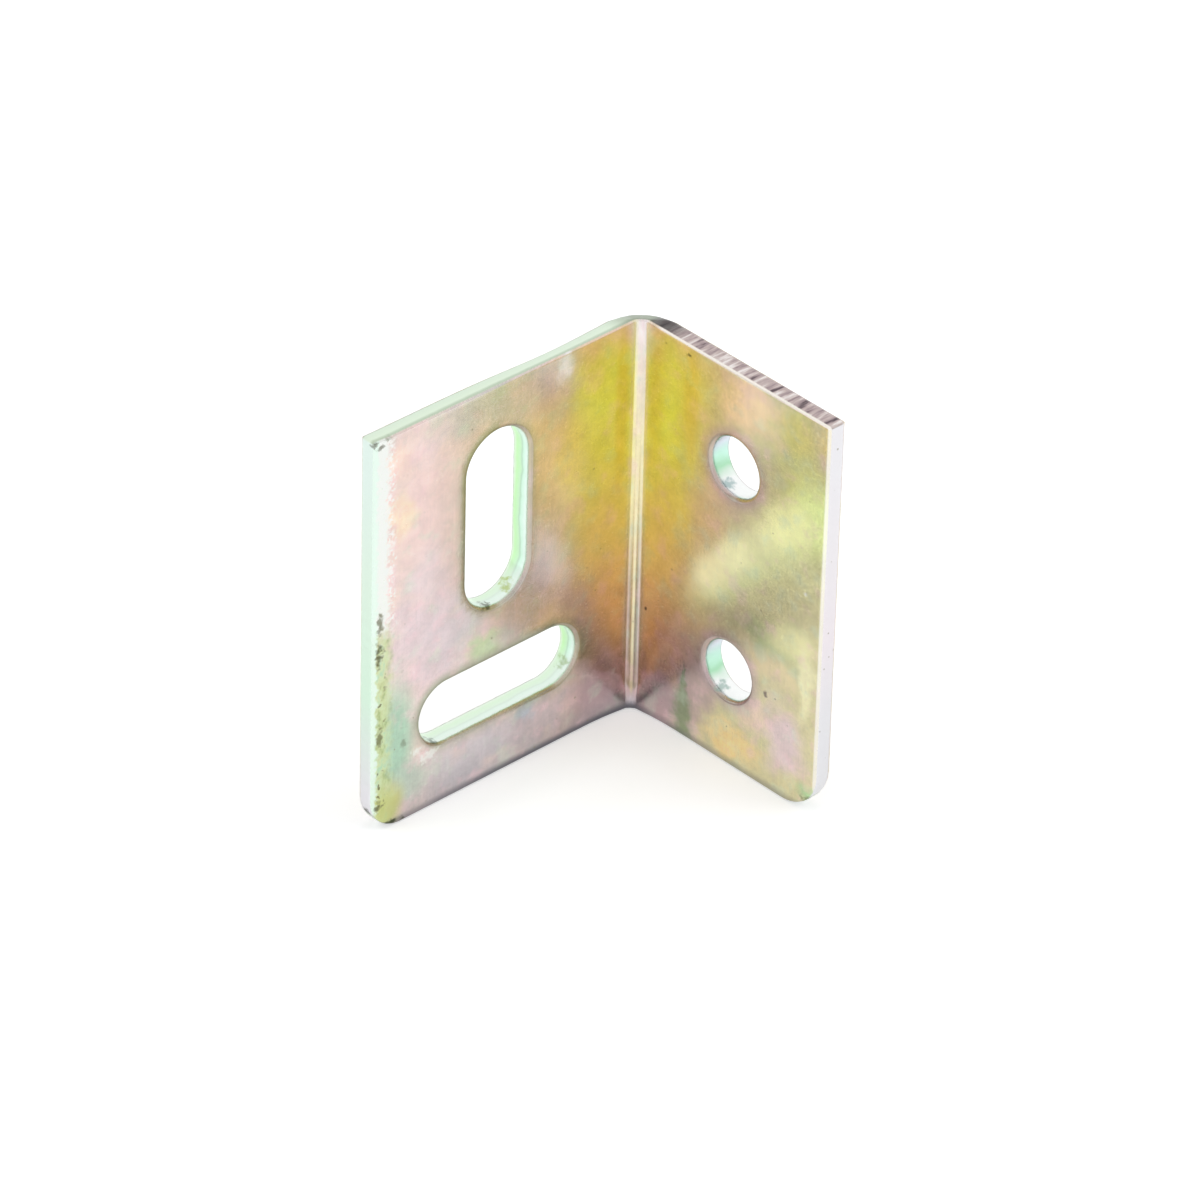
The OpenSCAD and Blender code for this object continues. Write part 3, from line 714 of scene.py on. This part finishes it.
def fold_tree():
    """Folds a flat blank round the press tool, with the dips where the stretched outer side is drawn in."""
    tree = bpy.data.node_groups.new("fold_the_blank", "GeometryNodeTree")
    tree.interface.new_socket("Blank", in_out="INPUT", socket_type="NodeSocketGeometry")
    for name in ("Sheet thickness", "Fold radius", "Fold length", "Plate height", "Dip slope", "Dip reach",
                 "Outer corner along", "Outer corner across"):
        tree.interface.new_socket(name, in_out="INPUT", socket_type="NodeSocketFloat")
    tree.interface.new_socket("Plating", in_out="INPUT", socket_type="NodeSocketMaterial")
    tree.interface.new_socket("Plate", in_out="OUTPUT", socket_type="NodeSocketGeometry")
    given = tree.nodes.new("NodeGroupInput").outputs

    def calc(operation, first, second=0.0):
        return arithmetic(tree, "ShaderNodeMath", operation, first, second)

    def eased(value, low, high, at_low, at_high, kind):
        return node(tree, "ShaderNodeMapRange", {"Value": value, "From Min": low, "From Max": high,
                                                 "To Min": at_low, "To Max": at_high},
                    interpolation_type=kind).outputs["Result"]

    place = node(tree, "GeometryNodeInputPosition").outputs[0]
    along, up, depth = node(tree, "ShaderNodeSeparateXYZ", {0: place}).outputs[:3]
    half_fold = calc("MULTIPLY", given["Fold length"], 0.5)
    other_half = calc("MULTIPLY", given["Fold length"], -0.5)
    flat = calc("ADD", given["Sheet thickness"], given["Fold radius"])
    turn = eased(along, other_half, half_fold, 0.0, math.pi / 2, "LINEAR")
    reach = calc("SUBTRACT", flat, depth)
    past_slot_side = calc("MINIMUM", calc("ADD", along, half_fold), 0.0)
    past_hole_side = calc("MAXIMUM", calc("SUBTRACT", along, half_fold), 0.0)
    from_corner = calc("ADD", calc("SUBTRACT", flat, calc("MULTIPLY", reach, calc("COSINE", turn))),
                       past_hole_side)
    across = calc("SUBTRACT", calc("MULTIPLY", reach, calc("SINE", turn)), flat)
    across = calc("ADD", across, past_slot_side)
    # depth of the dip grows along the bisector from the hollow side of the fold to its outer side
    bisector = calc("MULTIPLY", calc("SUBTRACT", from_corner, across), math.sqrt(0.5))
    hollow_side = calc("SUBTRACT", calc("MULTIPLY", flat, math.sqrt(2.0)), given["Fold radius"])
    past_hollow = calc("MAXIMUM", calc("SUBTRACT", hollow_side, bisector), 0.0)
    dip = calc("MULTIPLY", past_hollow, given["Dip slope"])
    below_top = calc("SUBTRACT", given["Plate height"], given["Dip reach"])
    at_top = eased(up, below_top, given["Plate height"], 0.0, 1.0, "SMOOTHSTEP")
    at_bottom = eased(up, 0.0, given["Dip reach"], 1.0, 0.0, "SMOOTHSTEP")
    height = calc("ADD", up, calc("MULTIPLY", dip, calc("SUBTRACT", at_bottom, at_top)))
    folded = node(tree, "ShaderNodeCombineXYZ", {0: calc("ADD", from_corner, given["Outer corner along"]),
                                                 1: calc("ADD", across, given["Outer corner across"]),
                                                 2: height}).outputs[0]
    placed = node(tree, "GeometryNodeSetPosition", {"Geometry": given["Blank"], "Position": folded})
    real = node(tree, "GeometryNodeRealizeInstances", {0: placed.outputs[0]})
    plated = node(tree, "GeometryNodeSetMaterial", {
        "Geometry": real.outputs[0], "Material": given["Plating"]})
    node(tree, "NodeGroupOutput", {"Plate": plated.outputs[0]})
    return tree


def bake(piece, tree, values):
    """Runs a geometry tree on a piece with the given inputs and leaves the result as its plain mesh."""
    bpy.context.scene.collection.objects.link(piece)
    modifier = piece.modifiers.new(tree.name, "NODES")
    modifier.node_group = tree
    for socket in tree.interface.items_tree:
        if socket.in_out == "INPUT" and socket.name in values:
            modifier[socket.identifier] = values[socket.name]
    seen = piece.evaluated_get(bpy.context.evaluated_depsgraph_get())
    result = bpy.data.meshes.new_from_object(seen)
    piece.modifiers.remove(modifier)
    piece.data = result


plate = bpy.data.objects.new("plate", blank_mesh)
bake(plate, fold_tree(), {
    "Sheet thickness": sheet_thickness * millimetre,
    "Fold radius": fold_radius * millimetre,
    "Fold length": fold_length * millimetre,
    "Plate height": plate_height * millimetre,
    "Dip slope": fold_dip_slope,
    "Dip reach": fold_dip_reach * millimetre,
    "Outer corner along": -hole_leaf_length / 2 * millimetre,
    "Outer corner across": slot_leaf_length / 2 * millimetre,
    "Plating": plating(),
})
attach(plate, "root")
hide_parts("folded_plate")

# The floor: a wide sheet of plain white paper that the plate stands on, evenly lit from all round.
floor_half_width = 2.0
paper_glow = 0.50
floor_mesh = bpy.data.meshes.new("floor")
floor_corners = [(-floor_half_width, -floor_half_width, 0), (floor_half_width, -floor_half_width, 0),
                 (floor_half_width, floor_half_width, 0), (-floor_half_width, floor_half_width, 0)]
floor_mesh.from_pydata(floor_corners, [], [(0, 1, 2, 3)])
floor = bpy.data.objects.new("floor", floor_mesh)
bpy.context.scene.collection.objects.link(floor)
paper = bpy.data.materials.new("white_paper")
paper.use_nodes = True
paper.node_tree.nodes.clear()
paper_lit = node(paper.node_tree, "ShaderNodeBsdfDiffuse", {"Color": (0.86, 0.87, 0.89, 1.0)})


def seen_share(tree):
    """One for what is looked at, straight or in a reflection, and zero for light that falls on things."""
    rays = node(tree, "ShaderNodeLightPath").outputs
    seen = arithmetic(tree, "ShaderNodeMath", "MAXIMUM", rays["Is Camera Ray"], rays["Is Glossy Ray"])
    return arithmetic(tree, "ShaderNodeMath", "MAXIMUM", seen, rays["Is Transmission Ray"])


paper_seen = seen_share(paper.node_tree)
glow_strength = arithmetic(paper.node_tree, "ShaderNodeMath", "MULTIPLY", paper_seen, paper_glow)
glow = node(paper.node_tree, "ShaderNodeEmission", {"Strength": glow_strength})
paper_sum = node(paper.node_tree, "ShaderNodeAddShader", {0: paper_lit.outputs[0], 1: glow.outputs[0]})
node(paper.node_tree, "ShaderNodeOutputMaterial", {0: paper_sum.outputs[0]})
floor_mesh.materials.append(paper)

# The light: a plain white studio all round, with one soft lamp overhead and one at each side.
sky_for_lighting = 0.17
sky_when_seen = 1.0
studio = bpy.data.worlds.new("studio")
studio.use_nodes = True
backdrop = studio.node_tree.nodes["Background"]
backdrop.inputs["Color"].default_value = (1.0, 1.0, 1.0, 1.0)
sky_level = node(studio.node_tree, "ShaderNodeMapRange", {
    "Value": seen_share(studio.node_tree), "To Min": sky_for_lighting, "To Max": sky_when_seen})
studio.node_tree.links.new(sky_level.outputs["Result"], backdrop.inputs["Strength"])
bpy.context.scene.world = studio
for name, place, size, energy in (("overhead", (0.0, 0.1, 1.0), 0.7, 2.5),
                                  ("left_softbox", (-0.52, -0.52, 0.52), 0.8, 3.5),
                                  ("right_softbox", (0.52, 0.52, 0.52), 0.8, 3.5)):
    softbox = bpy.data.lights.new(name, "AREA")
    softbox.shape = "SQUARE"
    softbox.size = size
    softbox.energy = energy
    lamp = bpy.data.objects.new(name, softbox)
    lamp.location = place
    lamp.visible_glossy = False
    lamp.rotation_euler = Vector(place).to_track_quat("Z", "Y").to_euler()
    bpy.context.scene.collection.objects.link(lamp)
bpy.context.scene.view_settings.view_transform = "Standard"

# The camera: a long lens a little above the plate, looking into the hollow of the fold.
view_azimuth = math.radians(46.29)
view_elevation = math.radians(34.06)
view_roll = math.radians(1.50)
view_distance = 682.0 * millimetre
view_shift_right = -2.97 * millimetre
view_shift_up = -7.11 * millimetre
view_focal_pixels = 8319.0
picture_pixels = 1200.0
sensor_width = 36.0
backward = Vector((math.sin(view_azimuth) * math.cos(view_elevation),
                   -math.cos(view_azimuth) * math.cos(view_elevation), math.sin(view_elevation)))
level_right = Vector((math.cos(view_azimuth), math.sin(view_azimuth), 0.0))
level_up = backward.cross(level_right)
rightward = math.cos(view_roll) * level_right + math.sin(view_roll) * level_up
upward = math.cos(view_roll) * level_up - math.sin(view_roll) * level_right
inner_corner = Vector((sheet_thickness - hole_leaf_length / 2, slot_leaf_length / 2 - sheet_thickness,
                       plate_height / 2)) * millimetre
aim = inner_corner + view_shift_right * rightward + view_shift_up * upward
lens = bpy.data.cameras.new("camera")
lens.sensor_width = sensor_width
lens.lens = view_focal_pixels / picture_pixels * sensor_width
lens.clip_start = 0.01
camera = bpy.data.objects.new("camera", lens)
camera.matrix_world = Matrix.Translation(aim + view_distance * backward) @ Matrix(
    (rightward, upward, backward)).transposed().to_4x4()
bpy.context.scene.collection.objects.link(camera)
bpy.context.scene.camera = camera
